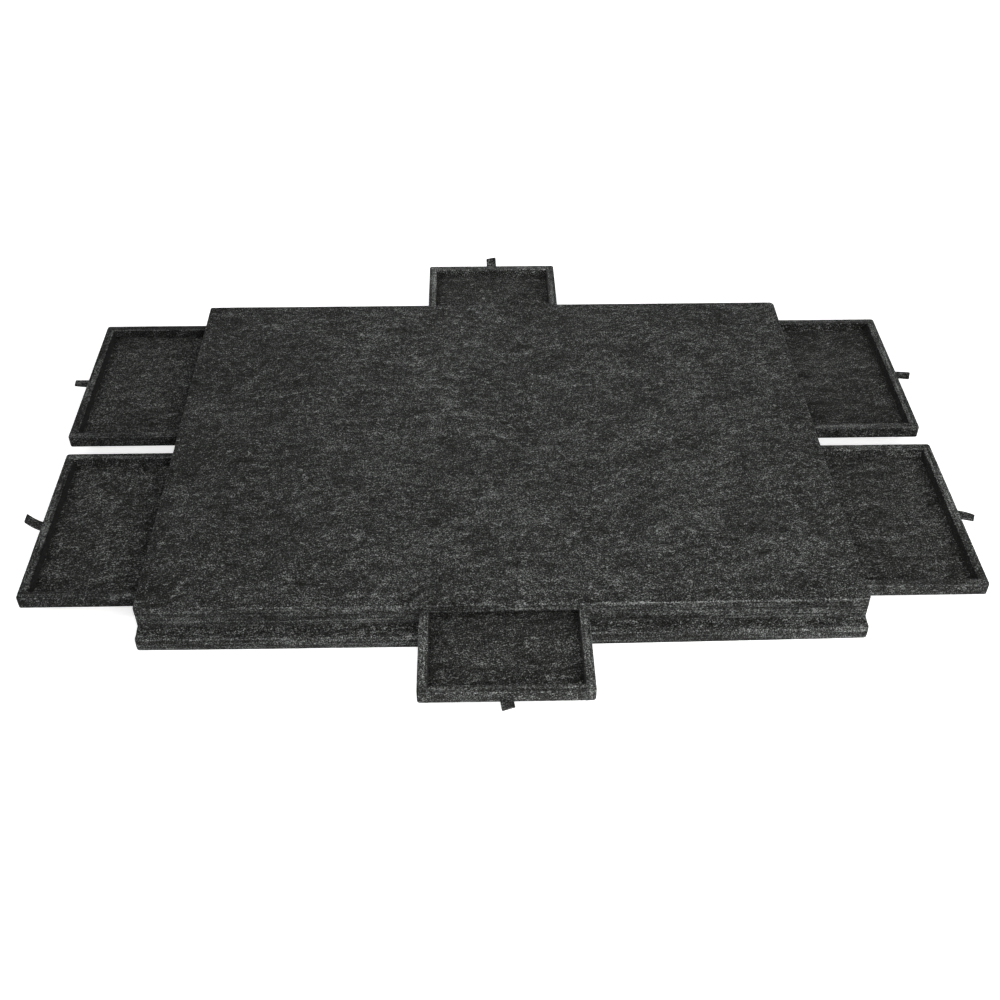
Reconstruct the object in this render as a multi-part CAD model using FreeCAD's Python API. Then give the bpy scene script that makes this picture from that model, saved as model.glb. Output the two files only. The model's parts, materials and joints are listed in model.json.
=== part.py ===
import FreeCAD, Part
import os

# Low jigsaw table made of stiff polyester felt board. A flat work board covers a shallow case,
# and six sorting drawers slide out of it: two at the left, two at the right, one at the front
# and one at the back. The case is glued to a thicker base board, which stands out a little in
# front of it and behind it.
# Millimetres. The origin is the middle of the underside, +Z is up, +X right and -Y the front.

# ---- the case ----
BOARD_LENGTH = 750.0  # work board and case along X
BOARD_DEPTH = 550.0  # work board and case along Y
TOP_THICKNESS = 10.0  # work board
DECK_THICKNESS = 3.0  # sheet that the drawers slide on
BASE_THICKNESS = 15.0  # lowest board
BASE_LIP = 15.0  # how far the base board stands out past the case, in front and behind
CORNER_RADIUS = 4.0  # upright corners of the boards
EDGE_RAIL_WIDTH = 26.0  # rails along the front and back edges, across their length
DIVIDER_WIDTH = 28.0  # between the two drawers of one end
INNER_WALL_THICKNESS = 12.0  # between a side drawer's bay and the front and back bays
CENTRE_BLOCK_WIDTH = 20.0  # between the front bay and the back bay

# ---- the drawers ----
DRAWER_HEIGHT = 14.0
END_DRAWER_WIDTH = 173.0  # front and back drawers, along X
WALL_THICKNESS = 10.0
FLOOR_THICKNESS = 3.0
FLOOR_REBATE = 5.0  # how far the floor is let into each wall
CLEAR_BELOW = 0.3  # running clearance over the deck
CLEAR_ABOVE = 0.7  # and under the work board
CLEAR_SIDE = 1.0  # at each side of a drawer
CLEAR_END = 2.0  # behind a closed drawer

# ---- the pull straps ----
STRAP_WIDTH = 13.0
STRAP_THICKNESS = 2.0
STRAP_REACH = 18.0  # free length in front of the drawer
STRAP_ROOT = 6.0  # length glued into the drawer's outer wall

# ---- how far each drawer stands open ----
LEFT_FRONT_OPEN = 126.0
LEFT_BACK_OPEN = 132.0
RIGHT_FRONT_OPEN = 133.0
RIGHT_BACK_OPEN = 130.0
FRONT_OPEN = 107.0
BACK_OPEN = 115.0

# ---- levels and lines that follow from them ----
HALF_LENGTH = BOARD_LENGTH / 2
HALF_DEPTH = BOARD_DEPTH / 2
BAY_LEVEL = BASE_THICKNESS + DECK_THICKNESS  # top of the deck
BAY_HEIGHT = CLEAR_BELOW + DRAWER_HEIGHT + CLEAR_ABOVE
TOP_LEVEL = BAY_LEVEL + BAY_HEIGHT  # underside of the work board
DRAWER_LEVEL = BAY_LEVEL + CLEAR_BELOW  # underside of a drawer

END_BAY_HALF = END_DRAWER_WIDTH / 2 + CLEAR_SIDE  # front and back bays reach this far in X
SIDE_BAY_START = END_BAY_HALF + INNER_WALL_THICKNESS  # side bays start here in X
INNER_EDGE = HALF_DEPTH - EDGE_RAIL_WIDTH  # inner line of the edge rails in Y
SIDE_BAY_WIDTH = INNER_EDGE - DIVIDER_WIDTH / 2
SIDE_BAY_CENTRE = (INNER_EDGE + DIVIDER_WIDTH / 2) / 2  # in Y, from the middle of the case

SIDE_DRAWER_WIDTH = SIDE_BAY_WIDTH - 2 * CLEAR_SIDE
SIDE_DRAWER_LENGTH = HALF_LENGTH - SIDE_BAY_START - CLEAR_END
END_DRAWER_LENGTH = HALF_DEPTH - CENTRE_BLOCK_WIDTH / 2 - CLEAR_END


def block(x, y, z):
    """A box between a low and a high value along each axis."""
    low = FreeCAD.Vector(x[0], y[0], z[0])
    return Part.makeBox(x[1] - x[0], y[1] - y[0], z[1] - z[0], low)


def round_corners(shape, corners):
    """The shape with its upright edges at the given (x, y) corners rounded."""
    edges = []
    for edge in shape.Edges:
        ends = [vertex.Point for vertex in edge.Vertexes]
        upright = len(ends) == 2 and (ends[0] - ends[1]).cross(FreeCAD.Vector(0, 0, 1)).Length < 1e-6
        at_corner = any(abs(ends[0].x - x) < 1e-6 and abs(ends[0].y - y) < 1e-6 for x, y in corners)
        if upright and at_corner:
            edges.append(edge)
    return shape.makeFillet(CORNER_RADIUS, edges)


def board(half_length, half_depth, low, thickness):
    """A full board, centred in X and Y, with rounded upright corners."""
    plain = block((-half_length, half_length), (-half_depth, half_depth), (low, low + thickness))
    corners = [(x, y) for x in (-half_length, half_length) for y in (-half_depth, half_depth)]
    return round_corners(plain, corners)


def mirror_x(span):
    return (-span[1], -span[0])


def save(node, shape):
    if not shape.isValid() or len(shape.Solids) != 1:
        raise RuntimeError("not one valid solid: " + node)
    shape.exportStep("parts/" + node + ".step")


# ---- boards: base, deck and work board ----
def make_boards():
    save("base_board", board(HALF_LENGTH, HALF_DEPTH + BASE_LIP, 0.0, BASE_THICKNESS))
    save("drawer_deck", board(HALF_LENGTH, HALF_DEPTH, BASE_THICKNESS, DECK_THICKNESS))
    save("work_board", board(HALF_LENGTH, HALF_DEPTH, TOP_LEVEL, TOP_THICKNESS))


# ---- bay walls: what stands between the deck and the work board ----
def make_bay_walls():
    levels = (BAY_LEVEL, TOP_LEVEL)
    rail = (END_BAY_HALF, HALF_LENGTH)
    divider = (SIDE_BAY_START, HALF_LENGTH)
    inner_wall = (END_BAY_HALF, SIDE_BAY_START)
    for side, flip in (("left", True), ("right", False)):
        corner_x = -HALF_LENGTH if flip else HALF_LENGTH
        rail_x, divider_x, wall_x = (mirror_x(s) if flip else s for s in (rail, divider, inner_wall))
        front = block(rail_x, (-HALF_DEPTH, -INNER_EDGE), levels)
        back = block(rail_x, (INNER_EDGE, HALF_DEPTH), levels)
        save("front_" + side + "_rail", round_corners(front, [(corner_x, -HALF_DEPTH)]))
        save("back_" + side + "_rail", round_corners(back, [(corner_x, HALF_DEPTH)]))
        save(side + "_divider", block(divider_x, (-DIVIDER_WIDTH / 2, DIVIDER_WIDTH / 2), levels))
        save(side + "_inner_wall", block(wall_x, (-INNER_EDGE, INNER_EDGE), levels))
    centre_y = (-CENTRE_BLOCK_WIDTH / 2, CENTRE_BLOCK_WIDTH / 2)
    save("centre_block", block((-END_BAY_HALF, END_BAY_HALF), centre_y, levels))


# ---- drawers ----
# A drawer is made with its outer face on X = 0, opening towards +X, and centred in Y. The two
# side walls run its whole length, the outer and inner walls fit between them, and the floor is
# let into all four. The pull strap is glued into a slot halfway up the outer wall.
def drawer_pieces(length, width):
    levels = (DRAWER_LEVEL, DRAWER_LEVEL + DRAWER_HEIGHT)
    half, inner_half = width / 2, width / 2 - WALL_THICKNESS
    inset = WALL_THICKNESS - FLOOR_REBATE
    floor_levels = (DRAWER_LEVEL, DRAWER_LEVEL + FLOOR_THICKNESS)
    floor = block((-length + inset, -inset), (-half + inset, half - inset), floor_levels)
    strap_low = DRAWER_LEVEL + (DRAWER_HEIGHT - STRAP_THICKNESS) / 2
    strap_y = (-STRAP_WIDTH / 2, STRAP_WIDTH / 2)
    strap = block((-STRAP_ROOT, STRAP_REACH), strap_y, (strap_low, strap_low + STRAP_THICKNESS))
    walls = {
        "outer_wall": block((-WALL_THICKNESS, 0.0), (-inner_half, inner_half), levels),
        "inner_wall": block((-length, -length + WALL_THICKNESS), (-inner_half, inner_half), levels),
        "left_wall": block((-length, 0.0), (-half, -inner_half), levels),
        "right_wall": block((-length, 0.0), (inner_half, half), levels),
    }
    pieces = {name: wall.cut(floor) for name, wall in walls.items()}
    pieces["outer_wall"] = pieces["outer_wall"].cut(strap)
    pieces["floor"] = floor
    pieces["pull_strap"] = strap
    return pieces


def make_drawer(name, length, width, edge, centre, turn, open_by):
    """Writes one drawer: edge is the case's face it leaves, centre its place along that face."""
    for piece, shape in drawer_pieces(length, width).items():
        shape.translate(FreeCAD.Vector(edge + open_by, centre, 0))
        shape.rotate(FreeCAD.Vector(0, 0, 0), FreeCAD.Vector(0, 0, 1), turn)
        save(name + "_drawer_" + piece, shape)


def make_drawers():
    side = (SIDE_DRAWER_LENGTH, SIDE_DRAWER_WIDTH, HALF_LENGTH)
    end = (END_DRAWER_LENGTH, END_DRAWER_WIDTH, HALF_DEPTH)
    # the place along the face is given before the turn, so it changes sign on the left
    make_drawer("left_front", *side, SIDE_BAY_CENTRE, 180, LEFT_FRONT_OPEN)
    make_drawer("left_back", *side, -SIDE_BAY_CENTRE, 180, LEFT_BACK_OPEN)
    make_drawer("right_front", *side, -SIDE_BAY_CENTRE, 0, RIGHT_FRONT_OPEN)
    make_drawer("right_back", *side, SIDE_BAY_CENTRE, 0, RIGHT_BACK_OPEN)
    make_drawer("front", *end, 0.0, -90, FRONT_OPEN)
    make_drawer("back", *end, 0.0, 90, BACK_OPEN)


os.makedirs("parts", exist_ok=True)
make_boards()
make_bay_walls()
make_drawers()
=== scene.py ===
import json
import math
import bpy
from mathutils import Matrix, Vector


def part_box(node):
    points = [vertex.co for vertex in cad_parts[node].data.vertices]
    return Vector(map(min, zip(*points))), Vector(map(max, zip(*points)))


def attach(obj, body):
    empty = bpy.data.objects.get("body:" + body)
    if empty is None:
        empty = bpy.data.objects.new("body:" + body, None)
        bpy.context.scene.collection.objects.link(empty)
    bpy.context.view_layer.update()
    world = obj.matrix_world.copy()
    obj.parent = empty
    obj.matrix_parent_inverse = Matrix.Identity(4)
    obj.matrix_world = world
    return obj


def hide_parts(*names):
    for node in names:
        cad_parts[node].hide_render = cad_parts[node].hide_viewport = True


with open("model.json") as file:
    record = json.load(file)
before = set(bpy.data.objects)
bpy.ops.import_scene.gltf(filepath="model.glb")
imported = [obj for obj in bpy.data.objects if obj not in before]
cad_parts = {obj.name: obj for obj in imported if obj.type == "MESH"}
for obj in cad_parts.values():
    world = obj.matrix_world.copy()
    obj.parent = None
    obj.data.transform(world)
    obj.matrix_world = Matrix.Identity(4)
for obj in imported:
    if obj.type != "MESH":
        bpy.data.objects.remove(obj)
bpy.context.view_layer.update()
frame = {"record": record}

import zlib

import bpy
import numpy as np
from mathutils import Matrix, Vector, geometry, noise

# Looks of a low jigsaw table made of charcoal felt board. Every CAD node is replaced by a felt
# piece of the same size, with soft arrises, slightly uneven faces and a needled fibre surface.
# Sizes are in millimetres until a mesh is made, and the felt's texture is in millimetres too.
MM = 0.001

# ---- how felt board is shaped ----
ARC_STEPS = 5  # faces across one rounded arris
CORNER_STEP = 0.9  # spacing of points around an upright corner
FINE_STEP = 2.0  # spacing of points along an edge
CAP_STEP = 4.0  # spacing of points on a visible flat face
HIDDEN_STEP = 16.0  # and on one that other pieces cover
# The spacings of a kind of piece: along its edges, on its top and underneath.
BOARD_STEPS = (FINE_STEP, CAP_STEP, HIDDEN_STEP)
BASE_STEPS = (FINE_STEP, 3.0, HIDDEN_STEP)
HIDDEN_STEPS = (FINE_STEP, HIDDEN_STEP, HIDDEN_STEP)
INSIDE_STEPS = (4.0, HIDDEN_STEP, HIDDEN_STEP)
WALL_STEPS = (FINE_STEP, 2.5, 2.5)
STRAP_STEPS = (1.0, 1.0, 1.0)
CAP_SCATTER = 0.25  # how far those points stray from their grid, in steps
CAP_MARGIN = 0.45  # how far they stay inside the arris, in steps
KEEP_INSIDE = 1  # Blender's number for only the triangles inside a border
MERGE_WITHIN = 1e-6  # points nearer than this are one
WAVE_GAIN = 1.6  # brings Blender's noise to about -1 to 1
# Hollows that deepen a face: how deep, the length of their waves, and where the noise is sampled.
SWELL = (0.12, 42.0, 3.7)
LUMPS = (0.06, 6.0, 11.3)
ARRIS_LUMPS = (0.20, 3.6, 23.9)  # only on an arris
NAP = 0.25  # how far the fibres stand out of a face, except underneath
TIGHT = 0.35  # arris radius where two boards are glued face to face
BURIED = 0.8  # how far a glued face goes into the piece it is glued to
GLUED_CORNER = 0.6  # upright corners where pieces meet

# ---- camera ----
CAMERA_TARGET = Vector((0.0014, -0.0563, -0.011))
CAMERA_DISTANCE = 1.4967
CAMERA_AZIMUTH = math.radians(-1.59)
CAMERA_ELEVATION = math.radians(41.66)
CAMERA_ROLL = math.radians(0.33)
SENSOR_WIDTH = 36.0
LENS = 46.105

# ---- light, in metres and watts ----
WHITE = (1.0, 1.0, 1.0)
WARM_WHITE = (1.0, 0.98, 0.95)
SKY = 0.50  # strength straight up
SKY_STARTS = 0.15  # how high above the horizon the sky starts to shine, 1 being straight up
FLOOR_HALF = 6.0
FLOOR_WHITE = 0.82
FLOOR_LIFT = 0.76  # light of the floor that only the camera sees, so that its shadows stay pale


# ---------------------------------------------------------------- stage
def look_matrix(azimuth, elevation, roll, distance, target):
    """Where a camera stands that sees target from that azimuth and elevation, in metres."""
    level = math.cos(elevation)
    back = Vector((math.sin(azimuth) * level, -math.cos(azimuth) * level, math.sin(elevation)))
    right = (-back).cross(Vector((0, 0, 1))).normalized()
    up = back.cross(right)
    turned_right = math.cos(roll) * right + math.sin(roll) * up
    turned_up = math.cos(roll) * up - math.sin(roll) * right
    matrix = Matrix((turned_right, turned_up, back)).transposed().to_4x4()
    matrix.translation = target + back * distance
    return matrix


def make_camera():
    data = bpy.data.cameras.new("camera")
    data.sensor_width = SENSOR_WIDTH
    data.lens = LENS
    camera = bpy.data.objects.new("camera", data)
    bpy.context.scene.collection.objects.link(camera)
    camera.matrix_world = look_matrix(
        CAMERA_AZIMUTH, CAMERA_ELEVATION, CAMERA_ROLL, CAMERA_DISTANCE, CAMERA_TARGET
    )
    bpy.context.scene.camera = camera


def add_softbox(name, watts, place, size, target, colour):
    """A square lamp at place that faces target."""
    data = bpy.data.lights.new(name, "AREA")
    data.energy = watts
    data.size = size
    data.color = colour
    light = bpy.data.objects.new(name, data)
    bpy.context.scene.collection.objects.link(light)
    light.location = place
    light.rotation_mode = "QUATERNION"
    light.rotation_quaternion = (Vector(place) - Vector(target)).to_track_quat("Z", "Y")


def seen_directly(tree):
    """A socket that is 1 for what the camera sees, straight, mirrored or through glass."""
    path = tree.nodes.new("ShaderNodeLightPath")
    both = tree.nodes.new("ShaderNodeMath")
    both.operation = "MAXIMUM"
    tree.links.new(path.outputs["Is Camera Ray"], both.inputs[0])
    tree.links.new(path.outputs["Is Glossy Ray"], both.inputs[1])
    three = tree.nodes.new("ShaderNodeMath")
    three.operation = "MAXIMUM"
    tree.links.new(both.outputs[0], three.inputs[0])
    tree.links.new(path.outputs["Is Transmission Ray"], three.inputs[1])
    return three.outputs[0]


def make_world():
    """Light from above that fades towards the horizon. The camera sees plain white."""
    world = bpy.data.worlds.new("studio")
    bpy.context.scene.world = world
    world.use_nodes = True
    tree = world.node_tree
    tree.nodes.clear()
    place = tree.nodes.new("ShaderNodeTexCoord")
    height = tree.nodes.new("ShaderNodeSeparateXYZ")
    tree.links.new(place.outputs["Generated"], height.inputs[0])
    fade = tree.nodes.new("ShaderNodeMapRange")
    tree.links.new(height.outputs["Z"], fade.inputs["Value"])
    fade.inputs["From Min"].default_value = SKY_STARTS
    fade.inputs["To Max"].default_value = SKY
    lit = tree.nodes.new("ShaderNodeBackground")
    tree.links.new(fade.outputs["Result"], lit.inputs["Strength"])
    seen = tree.nodes.new("ShaderNodeBackground")
    seen.inputs["Color"].default_value = WHITE + (1.0,)
    lit.inputs["Color"].default_value = WHITE + (1.0,)
    mix = tree.nodes.new("ShaderNodeMixShader")
    out = tree.nodes.new("ShaderNodeOutputWorld")
    tree.links.new(seen_directly(tree), mix.inputs["Fac"])
    tree.links.new(lit.outputs[0], mix.inputs[1])
    tree.links.new(seen.outputs[0], mix.inputs[2])
    tree.links.new(mix.outputs[0], out.inputs["Surface"])


def make_floor():
    """A white floor that shows the object's shadow faintly."""
    mesh = bpy.data.meshes.new("floor")
    spots = [(x * FLOOR_HALF, y * FLOOR_HALF, 0) for x, y in ((-1, -1), (1, -1), (1, 1), (-1, 1))]
    mesh.from_pydata(spots, [], [(0, 1, 2, 3)])
    floor = bpy.data.objects.new("floor", mesh)
    bpy.context.scene.collection.objects.link(floor)
    material = bpy.data.materials.new("white_floor")
    material.use_nodes = True
    tree = material.node_tree
    tree.nodes.clear()
    white = tree.nodes.new("ShaderNodeBsdfDiffuse")
    white.inputs["Color"].default_value = (FLOOR_WHITE,) * 3 + (1.0,)
    glow = tree.nodes.new("ShaderNodeEmission")
    glow.inputs["Strength"].default_value = FLOOR_LIFT
    both = tree.nodes.new("ShaderNodeAddShader")
    mix = tree.nodes.new("ShaderNodeMixShader")
    out = tree.nodes.new("ShaderNodeOutputMaterial")
    tree.links.new(white.outputs[0], both.inputs[0])
    tree.links.new(glow.outputs[0], both.inputs[1])
    tree.links.new(seen_directly(tree), mix.inputs["Fac"])
    tree.links.new(white.outputs[0], mix.inputs[1])
    tree.links.new(both.outputs[0], mix.inputs[2])
    tree.links.new(mix.outputs[0], out.inputs["Surface"])
    mesh.materials.append(material)


# ---------------------------------------------------------------- felt material
class Graph:
    """Adds nodes to a material in single calls. A value may be a number, a tuple or a socket."""

    def __init__(self, name):
        self.material = bpy.data.materials.new(name)
        self.material.use_nodes = True
        self.tree = self.material.node_tree
        self.tree.nodes.clear()

    def add(self, kind, values=(), **settings):
        node = self.tree.nodes.new("ShaderNode" + kind)
        for key, value in settings.items():
            setattr(node, key, value)
        for key, value in dict(values).items():
            if isinstance(value, bpy.types.NodeSocket):
                self.tree.links.new(value, node.inputs[key])
            else:
                node.inputs[key].default_value = value
        return node

    def attribute(self, name):
        return self.add("Attribute", attribute_name=name)

    def math(self, operation, a, b=0.0):
        return self.add("Math", {0: a, 1: b}, operation=operation).outputs[0]

    def vector(self, operation, a, b):
        return self.add("VectorMath", {0: a, 1: b}, operation=operation).outputs[0]

    def product(self, first, *others):
        for other in others:
            first = self.math("MULTIPLY", first, other)
        return first

    def step(self, value, low, high, to_low=0.0, to_high=1.0):
        """A smooth step: to_low where the value is low or less, to_high where it is high or more."""
        values = {"Value": value, "From Min": low, "From Max": high, "To Min": to_low, "To Max": to_high}
        return self.add("MapRange", values, interpolation_type="SMOOTHSTEP").outputs["Result"]

    def noise(self, vector, size, detail, roughness=0.5, output="Fac"):
        """Noise from 0 to 1 whose blobs are about size millimetres across."""
        values = {"Vector": vector, "Scale": 1.0 / size, "Detail": detail, "Roughness": roughness}
        return self.add("TexNoise", values, noise_dimensions="3D").outputs[output]

    def about_zero(self, value, weight):
        """Noise, or a value like it, moved to have its middle at 0, times weight."""
        return self.product(self.math("SUBTRACT", value, NOISE_MIDDLE), weight)

    def stretched(self, vector, angle, length, width, thickness):
        """The vector turned in the sheet's plane, with a fibre of that size one unit long each way."""
        turn = (0.0, 0.0, math.radians(angle))
        values = {"Vector": vector, "Rotation": turn, "Scale": (length, width, thickness)}
        return self.add("Mapping", values, vector_type="TEXTURE").outputs[0]


# The felt's brightness is its tone times e to the sum of some layers. Directions are in degrees from
# the length of the sheet, sizes in millimetres, and weights are the powers of e.
NOISE_MIDDLE = 0.5
# How the fibres wander: the waves' length and how far they reach, and how far through the sheet.
SWAYS = ((110.0, 60.0), (22.0, 7.0))
SWAY_THROUGH = 2.0
# Fibre bundles: direction in the sheet, length, width and weight.
BUNDLES = (
    (4.0, 20.0, 1.3, 3.1),
    (25.0, 11.0, 1.15, 2.9),
    (-19.0, 11.0, 1.15, 2.4),
    (53.0, 7.0, 1.2, 1.7),
)
# Single pale hairs: direction, length, spacing and weight.
HAIRS = (
    (4.0, 20.0, 3.2, 1.6),
    (27.0, 16.0, 3.0, 1.44),
    (-24.0, 16.0, 3.0, 1.44),
    (8.0, 8.0, 1.7, 1.28),
    (48.0, 7.0, 1.8, 1.28),
    (-41.0, 7.0, 1.8, 1.28),
)
HAIR_START = (7.0, 0.0, 5.0)  # where the first kind of hair lies in the noise
HAIR_SHIFT = (31.0, 19.0, 0.0)  # and how far from it each next kind does
HAIR_THIN = 0.05  # how near its middle the noise makes a hair
HAIR_PATCH = 2.2  # size of the patches that show hairs, in spacings
HAIR_SHOWN = (0.57, 0.68)  # where the noise of those patches starts to show them, and shows them whole
LYING_ON_CUT = 0.45  # how much of the bundles and hairs, which lie along the sheet, a cut edge shows
# Paler and darker patches of fibres, clumps, and slow drift from place to place.
PATCH_ANGLE = 6.0
PATCH_SIZE = (34.0, 11.0, 11.0)
PATCH_WEIGHT = 2.0
CLUMP_SIZE = 7.5
CLUMP_WEIGHT = 2.0
DRIFT_SIZE = 60.0
DRIFT_WEIGHT = 1.2
# The layers that the felt was laid up in, which a cut edge shows.
LAID_SIZE = (130.0, 130.0, 3.2)
LAID_WEIGHT = 4.5
# Short fibre ends: their size, and their weight on the sheet and on a cut edge.
END_SIZE = 1.4
END_WEIGHTS = (10.0, 8.4)
# Single pale flecks: their size, where the noise starts to make one and makes it whole, and weight.
FLECK_SIZE = 1.8
FLECK_SHOWN = (0.73, 0.8)
FLECK_WEIGHT = 1.2
# Pale fuzz on an arris, partly the felt's own fuzz and partly a painted highlight: its size, the noise's
# range, and the weights it gives, low and high.
FUZZ_HIGHLIGHT_SIZE = 1.6
FUZZ_HIGHLIGHT_RANGE = (0.42, 0.62)
FUZZ_HIGHLIGHT_WEIGHTS = (0.28, 0.95)
CUT_WEIGHT = 0.4  # how much paler a cut edge is
PAINTED_SHADE_WEIGHT = -2.5  # and how much darker full painted shade is
HOLLOW_SHARE = 0.75  # how much of a sum below 0 is kept
BRIGHTEST = 16.0  # most that the layers multiply the tone by
# The hollows are a little warmer than the fibres on top: the sums between which they change, how
# warm they are, and how much red that adds and blue it takes.
WARM_RANGE = (-1.2, 0.6)
WARMTH = 0.5
WARM_RED = 0.12
WARM_BLUE = 0.14
BUMP_RANGE = (-1.0, 1.5)  # the sums that the bump follows
BUMP_HEIGHT = 0.3
BUMP_STRENGTH = 0.5
BUMP_DISTANCE = 0.5 * MM


def sway(g, sheet):
    """The sheet's own coordinates, wandering a little, so that no fibre runs straight."""
    waved = sheet
    for size, reach in SWAYS:
        wander = g.noise(sheet, size, detail=1.0, output="Color")
        wander = g.vector("SUBTRACT", wander, (NOISE_MIDDLE,) * 3)
        waved = g.vector("ADD", waved, g.vector("MULTIPLY", wander, (reach, reach, SWAY_THROUGH)))
    return waved


def bundle_layers(g, waved):
    """Fibre bundles that cross each other."""
    layers = []
    for angle, length, width, weight in BUNDLES:
        lying = g.stretched(waved, angle, length, width, width)
        layers.append(g.about_zero(g.noise(lying, 1.0, detail=3.0, roughness=0.62), weight))
    return layers


def hair_layers(g, waved):
    """Thin pale hairs: one lies where a slow noise crosses its middle, on and off along its length."""
    layers = []
    for number, (angle, length, spacing, weight) in enumerate(HAIRS):
        shift = tuple(start + number * step for start, step in zip(HAIR_START, HAIR_SHIFT))
        moved = g.vector("ADD", waved, shift)
        crossing = g.noise(g.stretched(moved, angle, length, spacing, spacing), 1.0, detail=1.0)
        away = g.math("ABSOLUTE", g.math("SUBTRACT", crossing, NOISE_MIDDLE))
        hair = g.step(away, 0.0, HAIR_THIN, 1.0, 0.0)
        shown = g.step(g.noise(moved, HAIR_PATCH * spacing, detail=1.0), *HAIR_SHOWN)
        layers.append(g.product(hair, shown, weight))
    return layers


def felt_layers(g, cut_weight, fuzz_highlight_weights):
    """Every layer that makes the felt paler or darker somewhere."""
    sheet = g.attribute("felt_co").outputs["Vector"]
    cut = g.attribute("felt_cut").outputs["Fac"]
    arris = g.attribute("felt_arris").outputs["Fac"]
    # painted shade that a piece sets per point: darker where shade falls on it
    painted_shade = g.attribute("felt_painted_shade").outputs["Fac"]
    waved = sway(g, sheet)
    lying_share = g.step(cut, 0.0, 1.0, 1.0, LYING_ON_CUT)
    layers = [g.product(lying, lying_share) for lying in bundle_layers(g, waved) + hair_layers(g, waved)]
    patch = g.noise(g.stretched(waved, PATCH_ANGLE, *PATCH_SIZE), 1.0, detail=2.0, roughness=0.55)
    layers.append(g.about_zero(patch, PATCH_WEIGHT))
    laid = g.noise(g.stretched(waved, 0.0, *LAID_SIZE), 1.0, detail=2.0, roughness=0.6)
    layers.append(g.product(g.about_zero(laid, LAID_WEIGHT), cut))
    clump = g.noise(sheet, CLUMP_SIZE, detail=2.0, roughness=0.6)
    layers.append(g.about_zero(clump, CLUMP_WEIGHT))
    layers.append(g.about_zero(g.noise(sheet, DRIFT_SIZE, detail=2.0), DRIFT_WEIGHT))
    end = g.about_zero(g.noise(sheet, END_SIZE, detail=1.0, roughness=0.7), 1.0)
    layers.append(g.product(end, g.step(cut, 0.0, 1.0, *END_WEIGHTS)))
    fleck = g.step(g.noise(waved, FLECK_SIZE, detail=0.0), *FLECK_SHOWN)
    layers.append(g.product(fleck, FLECK_WEIGHT))
    # pale fuzz and painted highlight along the arrises
    pale = g.noise(waved, FUZZ_HIGHLIGHT_SIZE, detail=2.0, roughness=0.6)
    fuzz_highlight = g.step(pale, *FUZZ_HIGHLIGHT_RANGE, *fuzz_highlight_weights)
    layers.append(g.product(fuzz_highlight, arris))
    layers.append(g.product(cut, cut_weight))
    layers.append(g.product(painted_shade, PAINTED_SHADE_WEIGHT))
    return layers


def felt_colour(g, tone, total):
    """The tone made paler or darker by the layers' sum, and a little warmer in the hollows."""
    bright = g.math("MINIMUM", g.math("EXPONENT", total), BRIGHTEST)
    warm = g.step(total, *WARM_RANGE, WARMTH, 0.0)
    red = g.math("ADD", g.product(warm, WARM_RED), 1.0)
    blue = g.math("SUBTRACT", 1.0, g.product(warm, WARM_BLUE))
    tint = g.add("CombineXYZ", {"X": red, "Y": 1.0, "Z": blue}).outputs[0]
    colour = g.add("VectorMath", {0: tone, "Scale": bright}, operation="SCALE").outputs[0]
    return g.vector("MULTIPLY", colour, tint)


def felt_bump(g, total):
    """Pale fibres stand up and dark hollows go in."""
    lowest, highest = BUMP_RANGE
    height = g.math("MINIMUM", g.math("MAXIMUM", total, lowest), highest)
    values = {"Strength": BUMP_STRENGTH, "Distance": BUMP_DISTANCE, "Height": g.product(height, BUMP_HEIGHT)}
    return g.add("Bump", values).outputs[0]


def felt_material(name, tone, cut_weight=CUT_WEIGHT, fuzz_highlight_weights=FUZZ_HIGHLIGHT_WEIGHTS):
    """Heathered needled felt of that tone."""
    g = Graph(name)
    total, *others = felt_layers(g, cut_weight, fuzz_highlight_weights)
    for layer in others:
        total = g.math("ADD", total, layer)
    below = g.product(g.math("MINIMUM", total, 0.0), HOLLOW_SHARE)
    total = g.math("ADD", g.math("MAXIMUM", total, 0.0), below)
    shader = g.add(
        "BsdfPrincipled",
        {
            "Base Color": felt_colour(g, tone, total),
            "Roughness": 1.0,
            "Specular IOR Level": 0.1,
            "Sheen Weight": 0.03,
            "Sheen Roughness": 0.5,
            "Normal": felt_bump(g, total),
        },
    )
    out = g.add("OutputMaterial")
    g.tree.links.new(shader.outputs[0], out.inputs["Surface"])
    return g.material


# ---------------------------------------------------------------- felt shapes
def outline(low, high, corners, arrises, step):
    """A rectangle with rounded corners, as points, outward normals and an arris radius for each.

    corners: radii at front left, front right, back right and back left.
    arrises: radii along the front, right, back and left sides.
    """
    centres = (
        (low[0] + corners[0], low[1] + corners[0]),
        (high[0] - corners[1], low[1] + corners[1]),
        (high[0] - corners[2], high[1] - corners[2]),
        (low[0] + corners[3], high[1] - corners[3]),
    )
    points, normals, radii = [], [], []
    for i, (centre, radius) in enumerate(zip(centres, corners)):
        start = math.pi + i * math.pi / 2
        count = max(3, round(radius * math.pi / 2 / CORNER_STEP))
        before, after = arrises[i - 1], arrises[i]
        for k in range(count + 1):
            angle = start + math.pi / 2 * k / count
            normal = np.array((math.cos(angle), math.sin(angle)))
            points.append(np.array(centre) + radius * normal)
            normals.append(normal)
            radii.append(min(radius, before + (after - before) * k / count))
        following = (i + 1) % 4
        side = start + math.pi / 2
        side_normal = np.array((math.cos(side), math.sin(side)))
        end = np.array(centres[following]) + corners[following] * side_normal
        here = points[-1]
        run = np.linalg.norm(end - here)
        pieces = max(1, round(run / step))
        for k in range(1, pieces):
            points.append(here + (end - here) * k / pieces)
            normals.append(side_normal)
            near_end = min(k, pieces - k) * run / pieces
            nearest = radius if 2 * k < pieces else corners[following]
            radii.append(min(after, nearest + near_end))
    return np.array(points), np.array(normals), np.array(radii)


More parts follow.
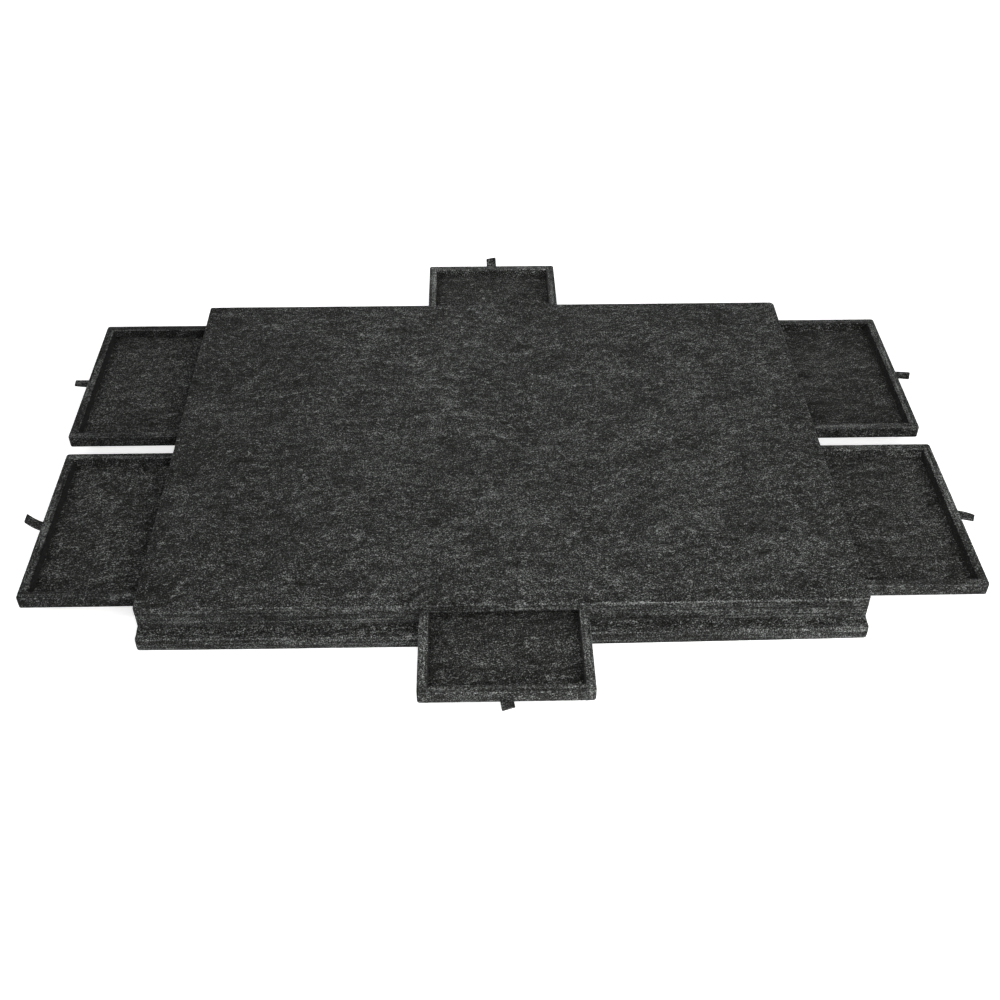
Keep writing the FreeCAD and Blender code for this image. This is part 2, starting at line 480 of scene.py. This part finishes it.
def rows(z_low, z_high, radii_low, radii_high, step):
    """The profile of the side of a board, from its bottom face round to its top face.

    Each row gives an inset, a height, and how far up its normal points, as an angle."""
    found = []
    quarter = np.linspace(0.0, math.pi / 2, ARC_STEPS + 1)
    for angle in quarter[::-1]:
        rise = radii_low * (1 - math.sin(angle))
        found.append((radii_low * (1 - math.cos(angle)), z_low + rise, -angle))
    straight = z_high - z_low - radii_low.max() - radii_high.max()
    pieces = max(1, round(straight / step))
    for k in range(1, pieces):
        share = k / pieces
        height = (z_low + radii_low) * (1 - share) + (z_high - radii_high) * share
        found.append((0.0 * radii_low, height, 0.0))
    for angle in quarter:
        drop = radii_high * (1 - math.sin(angle))
        found.append((radii_high * (1 - math.cos(angle)), z_high - drop, angle))
    return found


def hollows(points, depth, size, start):
    """How deep a face goes in at each point, with waves about size long, from noise sampled at start."""
    waves = np.array([noise.noise(p) for p in (points / size + start).tolist()]) * WAVE_GAIN
    return depth * (0.5 + 0.5 * waves)


def cap_points(low, high, margin, step, rng):
    """Points spread over a flat face, inside its edge by that margin."""
    spans = [(low[i] + margin, high[i] - margin) for i in (0, 1)]
    lines = [np.linspace(a, b, max(2, round((b - a) / step) + 1)) for a, b in spans]
    grid = np.stack(np.meshgrid(*lines, indexing="ij"), -1).reshape(-1, 2)
    return grid + rng.uniform(-CAP_SCATTER, CAP_SCATTER, grid.shape) * step


def fill_cap(border, inner):
    """Triangles over a flat face, as numbers into the border's points and then the inner ones."""
    count = len(border)
    places = [Vector(p) for p in np.concatenate([border, inner])]
    edges = [(i, (i + 1) % count) for i in range(count)]
    _, _, faces, origins, _, _ = geometry.delaunay_2d_cdt(places, edges, [], KEEP_INSIDE, MERGE_WITHIN)
    return [[origins[v][0] for v in face] for face in faces]


class Felt:
    """A block of felt with soft arrises, in millimetres, before it becomes a mesh."""

    def __init__(self, low, high, corners, arrises_top, arrises_low, seed, steps):
        step, top_step, low_step = steps
        rng = np.random.default_rng(seed)
        ring, ring_normals, radii_top = outline(low, high, corners, arrises_top, step)
        radii_low = outline(low, high, corners, arrises_low, step)[2]
        points, normals, arris = [], [], []
        for inset, height, angle in rows(low[2], high[2], radii_low, radii_top, step):
            place = ring - ring_normals * np.reshape(inset, (-1, 1))
            points.append(np.column_stack([place, np.broadcast_to(height, len(ring))]))
            out, up = math.cos(angle), math.sin(angle)
            normals.append(np.column_stack([ring_normals * out, np.full(len(ring), up)]))
            arris.append(np.full(len(ring), math.sin(2 * abs(angle))))
        count, levels = len(ring), len(points)
        faces = []
        for level in range(levels - 1):
            for k in range(count):
                here, there = level * count, (level + 1) * count
                following = (k + 1) % count
                faces.append((here + k, here + following, there + following, there + k))
        caps = ((0, -1.0, radii_low, low_step), (levels - 1, 1.0, radii_top, top_step))
        for level, up, radii, spacing in caps:
            border = points[level][:, :2]
            margin = max(radii.max(), min(corners)) + CAP_MARGIN * spacing
            widths = [high[i] - low[i] - 2 * margin for i in (0, 1)]
            inner = cap_points(low, high, margin, spacing, rng) if min(widths) > 0 else np.zeros((0, 2))
            start = sum(len(p) for p in points)
            height = points[level][0, 2]
            points.append(np.column_stack([inner, np.full(len(inner), height)]))
            normals.append(np.tile((0.0, 0.0, up), (len(inner), 1)))
            arris.append(np.zeros(len(inner)))
            for face in fill_cap(border, inner):
                numbers = [level * count + v if v < count else start + v - count for v in face]
                faces.append(numbers if up > 0 else numbers[::-1])
        self.points = np.concatenate(points)
        self.normals = np.concatenate(normals)
        self.arris = np.concatenate(arris)
        self.faces = faces
        self.rest = self.points.copy()

    def roughen(self):
        """Moves every point a little, out by the nap and in by the hollows."""
        depth = hollows(self.rest, *SWELL) + hollows(self.rest, *LUMPS)
        depth += hollows(self.rest, *ARRIS_LUMPS) * self.arris
        out = NAP * (1.0 - np.clip(-self.normals[:, 2], 0.0, 1.0)) - np.clip(depth, 0.0, None)
        self.points = self.points + self.normals * out[:, None]


def set_per_point(mesh, name, values):
    layer = mesh.attributes.new(name, "FLOAT", "POINT")
    layer.data.foreach_set("value", values.astype(np.float32))


def felt_object(name, felt, body, material, sheet, shift, painted_shade):
    """The mesh piece of a felt block. sheet is how the felt lies: the axes along, across and through.

    painted_shade says how much painted shade darkens each point, from 0 to 1, or is None."""
    mesh = bpy.data.meshes.new(name)
    mesh.from_pydata((felt.points * MM).tolist(), [], felt.faces)
    mesh.polygons.foreach_set("use_smooth", [True] * len(mesh.polygons))
    turn = np.array(sheet, float)
    place = mesh.attributes.new("felt_co", "FLOAT_VECTOR", "POINT")
    place.data.foreach_set("vector", (felt.rest @ turn.T + shift).astype(np.float32).ravel())
    set_per_point(mesh, "felt_cut", 1.0 - (felt.normals @ turn[2]) ** 2)
    set_per_point(mesh, "felt_arris", felt.arris)
    if painted_shade:
        set_per_point(mesh, "felt_painted_shade", painted_shade(felt.rest, felt.normals))
    mesh.materials.append(material)
    piece = bpy.data.objects.new(name, mesh)
    bpy.context.scene.collection.objects.link(piece)
    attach(piece, body)
    return piece


# ---------------------------------------------------------------- felt pieces
FLAT = ((1, 0, 0), (0, 1, 0), (0, 0, 1))  # a sheet that lies flat
UPRIGHT_ALONG_X = ((1, 0, 0), (0, 0, 1), (0, -1, 0))  # a strip on edge, along X
UPRIGHT_ALONG_Y = ((0, 1, 0), (0, 0, 1), (1, 0, 0))  # and along Y

SHEET_REACH = 400  # the pieces were cut from places up to this far from a sheet's middle

BODY_OF = {node: body for body, nodes in frame["record"]["behaviour"]["bodies"].items() for node in nodes}


def seed_of(node):
    return zlib.crc32(node.encode())


def shift_of(node):
    """Where this piece's felt was cut from the sheet."""
    return np.random.default_rng(seed_of(node)).uniform(-SHEET_REACH, SHEET_REACH, 3)


def corners_mm(node):
    low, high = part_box(node)
    return np.array(low) / MM, np.array(high) / MM


def evenly(radius):
    """The same radius at all four corners or along all four sides."""
    return (radius,) * 4


def make_piece(node, slot, material, corners, arrises_top, arrises_low, sheet=FLAT, steps=BOARD_STEPS,
               grow_low=(0, 0, 0), grow_high=(0, 0, 0), bend=None, painted_shade=None):
    """The felt piece that stands for a node. grow_low and grow_high sink its glued faces into others."""
    low, high = corners_mm(node)
    low, high = low - np.array(grow_low), high + np.array(grow_high)
    felt = Felt(low, high, corners, arrises_top, arrises_low, seed_of(node), steps)
    felt.roughen()
    if bend:
        felt.points = bend(felt.points, low, high)
    piece = felt_object(node + "_felt", felt, BODY_OF[node], material, sheet, shift_of(node), painted_shade)
    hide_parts(node)


# ---------------------------------------------------------------- the case
LIP = corners_mm("work_board")[0][1] - corners_mm("base_board")[0][1]  # it stands out in front this far
LIP_RIM = 1.6  # its front rim, which doesn't sag
SAG_SHARE = 0.2  # the top part of a board's thickness that sags
BOW_DEPTH = 120.0  # how far behind the front edge of a board its bow has faded out
BULGE_HEIGHT = 0.4  # where a front face bulges most, as a share of its height
BULGE_SPREAD = 0.6  # and how far above and below that it ends
BULGE_DEPTH = 8.0
LEFT_PAINTED_SHADE = 0.16  # how much painted shade darkens the top of the work board at its left end
LEFT_FADE = 2.5  # the power by which that fades towards the middle

WORK_BOARD_CORNERS = (4.0, 4.0, 6.0, 2.5)  # front left, front right, back right, back left
WORK_BOARD_ARRISES = (1.3, 0.3)  # at the top and underneath
DECK_CORNERS = (4.0, 4.0, 5.0, 4.0)
DECK_ARRISES = (0.25, 1.3)
BASE_CORNER = 4.0
BASE_ARRISES = (1.0, 0.5)
RAIL_CORNER = 4.0  # a rail's corner at a corner of the case
# Which corner of the case each rail is at: 0 front left, 1 front right, 2 back right, 3 back left.
RAILS = {"front_left_rail": 0, "front_right_rail": 1, "back_left_rail": 3, "back_right_rail": 2}
INSIDE = ("left_divider", "right_divider", "left_inner_wall", "right_inner_wall", "centre_block")


def bow_front(at_ends, in_middle, skew, bulge=0.0, dish=0.0):
    """A bend that lets the front edge of a board stand out, most in its middle.

    With skew it stands out more at the left end. Its front face bulges low down, and its top sags
    by dish in the lip that stands out in front."""
    def bend(points, low, high):
        across = (2 * points[:, 0] - low[0] - high[0]) / (high[0] - low[0])
        behind = points[:, 1] - low[1]
        height = (points[:, 2] - low[2]) / (high[2] - low[2])
        near = np.clip(1 - behind / BOW_DEPTH, 0, 1) ** 2
        round_face = np.clip(1 - ((height - BULGE_HEIGHT) / BULGE_SPREAD) ** 2, 0, 1)
        out = at_ends + (in_middle - at_ends) * (1 - across ** 2) - skew * across
        out = out + bulge * round_face * np.clip(1 - behind / BULGE_DEPTH, 0, 1)
        moved = points.copy()
        moved[:, 1] -= out * near * (3 - 2 * near)
        in_lip = np.sin(math.pi * np.clip((behind - LIP_RIM) / (LIP - LIP_RIM), 0, 1))
        moved[:, 2] -= dish * in_lip * np.clip((height - 1) / SAG_SHARE + 1, 0, 1)
        return moved
    return bend


def left_painted_shade(low, high):
    """Painted shade: the top of the work board is darker towards its left end."""
    def painted_shade(points, normals):
        leftward = np.clip((low[0] + high[0] - 2 * points[:, 0]) / (high[0] - low[0]), 0, 1)
        return LEFT_PAINTED_SHADE * leftward ** LEFT_FADE * np.clip(normals[:, 2], 0, 1) ** 2
    return painted_shade


def make_case(paint):
    make_piece("work_board", "felt_top", paint["top"], WORK_BOARD_CORNERS, *map(evenly, WORK_BOARD_ARRISES),
               bend=bow_front(at_ends=0.3, in_middle=1.5, skew=0.6),
               painted_shade=left_painted_shade(*corners_mm("work_board")))
    make_piece("drawer_deck", "felt_deck", paint["edge"], DECK_CORNERS, *map(evenly, DECK_ARRISES),
               steps=HIDDEN_STEPS)
    make_piece("base_board", "felt_base", paint["base"], evenly(BASE_CORNER), *map(evenly, BASE_ARRISES),
               steps=BASE_STEPS,
               bend=bow_front(at_ends=0.2, in_middle=2.2, skew=1.3, bulge=1.6, dish=1.6))
    sunk = (0, 0, BURIED)
    for node, outer in RAILS.items():
        corners = [RAIL_CORNER if corner == outer else GLUED_CORNER for corner in range(4)]
        make_piece(node, "felt_rail", paint["edge"], corners, evenly(TIGHT), evenly(TIGHT),
                   grow_low=sunk, grow_high=sunk)
    for node in INSIDE:
        make_piece(node, "felt_rail", paint["edge"], evenly(GLUED_CORNER), evenly(TIGHT), evenly(TIGHT),
                   steps=INSIDE_STEPS, grow_low=sunk, grow_high=sunk)


# ---------------------------------------------------------------- the drawers
# Which way a drawer opens: the side that its outer wall is on, 0 front, 1 right, 2 back, 3 left.
DRAWERS = {"left_front": 3, "left_back": 3, "right_front": 1, "right_back": 1, "front": 0, "back": 2}
# How pale each drawer's walls are, next to the case's felt, and how much paler their cut edges: painted
# light and shade that stands in for how the light falls on each drawer.
WALL_LIGHT_AND_SHADE = {
    "left_front": (0.72, 0.5),
    "left_back": (0.54, 0.75),
    "right_front": (1.1, 0.5),
    "right_back": (0.8, 0.85),
    "front": (1.4, 0.5),
    "back": (1.3, 0.5),
}
# how pale the fuzz and painted highlight on the walls' arrises are, low and high
WALL_FUZZ_HIGHLIGHT = (0.2, 1.05)
WALL_ARRIS = 0.7
BUTT_ARRIS = 0.35  # arris at the end of a wall that butts against another
TRAY_CORNER = 3.2  # upright corners of a drawer
SEAM_CORNER = 0.3  # and of a wall's end where another wall meets it
SAME_PLACE = 0.1  # how near two places are that count as one
WALL_BURIED = 1.3  # how far a wall's ends go into the walls they butt against
FLOOR_ARRIS = 0.4
FLOOR_RAISED = 0.4  # the floor's underside, over the walls'
FLOOR_SUNK = 0.8  # how much thinner the felt floor is pressed
FLOOR_LET_IN = 5.0  # how far the floor reaches into each wall
FLOOR_PAINTED_SHADE = 0.3  # how dark the painted shade on its edges is beside the walls along Y, and how far in it reaches
PAINTED_SHADE_REACH = 3.0
FRONT_PAINTED_SHADE = 0.12  # and the painted shade behind the wall in front
FRONT_REACH = 30.0
RIGHT_WALL_PAINTED_SHADE = 0.7  # how dark the painted shade on a face that looks left into the tray is, next to one that looks right
STRAP_CORNER = 0.9
STRAP_ARRIS = 0.5
STRAP_CURL = 1.6  # the power by which a strap bends more towards its end
# How each strap's free end hangs: outward, along the wall and up in millimetres, and twist in degrees.
STRAP_SET = {
    "left_front": (-1.0, 0.0, 13.0, 0.0),
    "left_back": (-0.2, -1.5, 2.0, -8.0),
    "right_front": (0.6, -5.0, -1.0, -14.0),
    "right_back": (0.4, -4.0, 1.5, 0.0),
    "front": (-4.5, 1.5, -1.0, 14.0),
    "back": (-1.0, -0.5, 9.0, 10.0),
}
OUTWARD = ((0.0, -1.0, 0.0), (1.0, 0.0, 0.0), (0.0, 1.0, 0.0), (-1.0, 0.0, 0.0))


def hang_strap(name, outward, root):
    """A bend that lets the free end of a pull strap hang the way it does on this drawer."""
    reach, swing, rise, twist = STRAP_SET[name]
    out = np.array(OUTWARD[outward])
    along = np.array((0.0, 1.0, 0.0)) if outward in (1, 3) else np.array((1.0, 0.0, 0.0))

    def bend(points, low, high):
        middle = (low + high) / 2
        from_root = (points - middle) @ out + abs((high - low) @ out) / 2 - root
        length = abs((high - low) @ out) - root
        share = np.clip(from_root / length, 0, 1)
        ease = share ** STRAP_CURL
        side, up = (points - middle) @ along, points[:, 2] - middle[2]
        angle = np.radians(twist) * ease
        turned_side = side * np.cos(angle) - up * np.sin(angle)
        turned_up = side * np.sin(angle) + up * np.cos(angle)
        # the strap stays square to the way it swings
        slope = swing / length * STRAP_CURL * share ** (STRAP_CURL - 1)
        moved = points + np.outer(turned_side - side + swing * ease, along)
        moved = moved + np.outer(reach * ease - side * slope, out)
        moved[:, 2] += turned_up - up + rise * ease
        return moved
    return bend


def wall_painted_shade(wall, tray_middle):
    """Painted shade on the dark side of a tray's wall: the face along Y that looks into the tray."""
    inward = math.copysign(1.0, (tray_middle - sum(corners_mm(wall)) / 2)[0])
    darkest = 1.0 if inward > 0 else RIGHT_WALL_PAINTED_SHADE

    def painted_shade(points, normals):
        return darkest * np.clip(inward * normals[:, 0], 0, 1)
    return painted_shade


def floor_painted_shade(low, high):
    """Painted shade on the dark edges of a tray's floor: next to the walls along Y and behind the one in
    front.
    """
    def painted_shade(points, normals):
        beside = np.minimum(points[:, 0] - low[0], high[0] - points[:, 0]) - FLOOR_LET_IN
        behind = points[:, 1] - low[1] - FLOOR_LET_IN
        at_sides = FLOOR_PAINTED_SHADE * np.exp(-np.clip(beside, 0, None) / PAINTED_SHADE_REACH)
        return at_sides + FRONT_PAINTED_SHADE * np.exp(-np.clip(behind, 0, None) / FRONT_REACH)
    return painted_shade


def make_tray_floor(name, paint):
    low, high = corners_mm(name)
    make_piece(name, "felt_floor", paint["floor"], evenly(GLUED_CORNER), evenly(FLOOR_ARRIS),
               evenly(FLOOR_ARRIS), grow_low=(0, 0, -FLOOR_RAISED), grow_high=(0, 0, -FLOOR_SUNK),
               painted_shade=floor_painted_shade(low, high))


def make_butted_wall(name, outward, paint, painted_shade):
    """The outer or the inner wall, whose ends butt against the two side walls."""
    along_y = outward in (1, 3)
    sheet = UPRIGHT_ALONG_Y if along_y else UPRIGHT_ALONG_X
    buried = (0, WALL_BURIED, 0) if along_y else (WALL_BURIED, 0, 0)
    arrises = [WALL_ARRIS if side % 2 == outward % 2 else BUTT_ARRIS for side in range(4)]
    make_piece(name, "felt_drawer_wall", paint["wall"], evenly(SEAM_CORNER), arrises, arrises, sheet,
               WALL_STEPS, buried, buried, painted_shade=painted_shade)


def make_side_wall(name, outward, tray_low, tray_high, paint, painted_shade):
    """A side wall, which runs the drawer's whole length and is rounder at the drawer's corners."""
    low, high = corners_mm(name)
    sheet = UPRIGHT_ALONG_X if outward in (1, 3) else UPRIGHT_ALONG_Y
    corners = []
    for x, y in ((low[0], low[1]), (high[0], low[1]), (high[0], high[1]), (low[0], high[1])):
        at_side = min(x - tray_low[0], tray_high[0] - x) < SAME_PLACE
        at_end = min(y - tray_low[1], tray_high[1] - y) < SAME_PLACE
        corners.append(TRAY_CORNER if at_side and at_end else SEAM_CORNER)
    make_piece(name, "felt_drawer_wall", paint["wall"], corners, evenly(WALL_ARRIS), evenly(WALL_ARRIS),
               sheet, WALL_STEPS, painted_shade=painted_shade)


def make_strap(name, outward, node, wall, paint):
    """The pull strap, whose root is glued into the outer wall."""
    out = np.array(OUTWARD[outward])
    low, high = corners_mm(wall)
    strap_low, strap_high = corners_mm(node)
    length = abs((strap_high - strap_low) @ out)
    from_wall = abs(((strap_low + strap_high) - (low + high)) / 2 @ out)
    free = from_wall + length / 2 - abs((high - low) @ out) / 2
    make_piece(node, "felt_strap", paint["strap"], evenly(STRAP_CORNER), evenly(STRAP_ARRIS),
               evenly(STRAP_ARRIS), steps=STRAP_STEPS, bend=hang_strap(name, outward, length - free))


def make_drawer(name, outward, paint):
    """One drawer. Its walls along Y get painted shade on their faces inside the tray."""
    prefix = name + "_drawer_"
    butted = [prefix + wall for wall in ("outer_wall", "inner_wall")]
    sides = [prefix + wall for wall in ("left_wall", "right_wall")]
    along_y = butted if outward in (1, 3) else sides
    tray_middle = sum(corners_mm(prefix + "floor")) / 2
    painted_shades = {wall: wall_painted_shade(wall, tray_middle) for wall in along_y}
    lows, highs = zip(*(corners_mm(wall) for wall in sides))
    tray_low = np.minimum(*lows)
    tray_high = np.maximum(*highs)
    make_tray_floor(prefix + "floor", paint)
    for wall in butted:
        make_butted_wall(wall, outward, paint, painted_shades.get(wall))
    for wall in sides:
        make_side_wall(wall, outward, tray_low, tray_high, paint, painted_shades.get(wall))
    make_strap(name, outward, prefix + "pull_strap", prefix + "outer_wall", paint)


# ---------------------------------------------------------------- the scene
# Soft lamps: name, watts, place, size, the spot it faces, and colour.
LAMPS = (
    ("front_softbox", 8.2, (0.25, -1.1, 0.69), 0.8, (0.0, -0.3, 0.0), WHITE),
    ("corner_softbox", 10.0, (1.3, -1.5, 1.0), 1.0, (0.1, -0.1, 0.0), WARM_WHITE),
    ("top_softbox", 3.0, (1.2, -0.2, 1.6), 1.0, (0.0, 0.0, 0.0), WARM_WHITE),
    ("left_softbox", 34.0, (-3.4, -1.0, 3.4), 1.5, (0.0, 0.0, 0.0), WHITE),
    ("back_softbox", 1.0, (-0.05, 0.6, 0.5), 0.4, (-0.05, 0.28, 0.0), WHITE),
)

CHARCOAL = (0.0200, 0.0209, 0.0202)


def shade(factor):
    """Charcoal that is paler or darker by a factor."""
    return tuple(channel * factor for channel in CHARCOAL)


TONES = {
    "top": shade(0.97),
    "edge": CHARCOAL,
    "base": shade(1.1),
    "floor": (0.0168, 0.017472, 0.0168),
    "strap": shade(0.85),
}

bpy.context.scene.view_settings.view_transform = "Standard"
make_camera()
make_world()
make_floor()
for lamp in LAMPS:
    add_softbox(*lamp)

paint = {part: felt_material("heather_" + part, tone) for part, tone in TONES.items()}
make_case(paint)
for drawer, outward in DRAWERS.items():
    # each drawer's walls get their own copy of the felt, made paler or darker as painted light and shade
    factor, cut_weight = WALL_LIGHT_AND_SHADE[drawer]
    paint["wall"] = felt_material("heather_wall_painted_light_" + drawer, shade(factor), cut_weight, WALL_FUZZ_HIGHLIGHT)
    make_drawer(drawer, outward, paint)
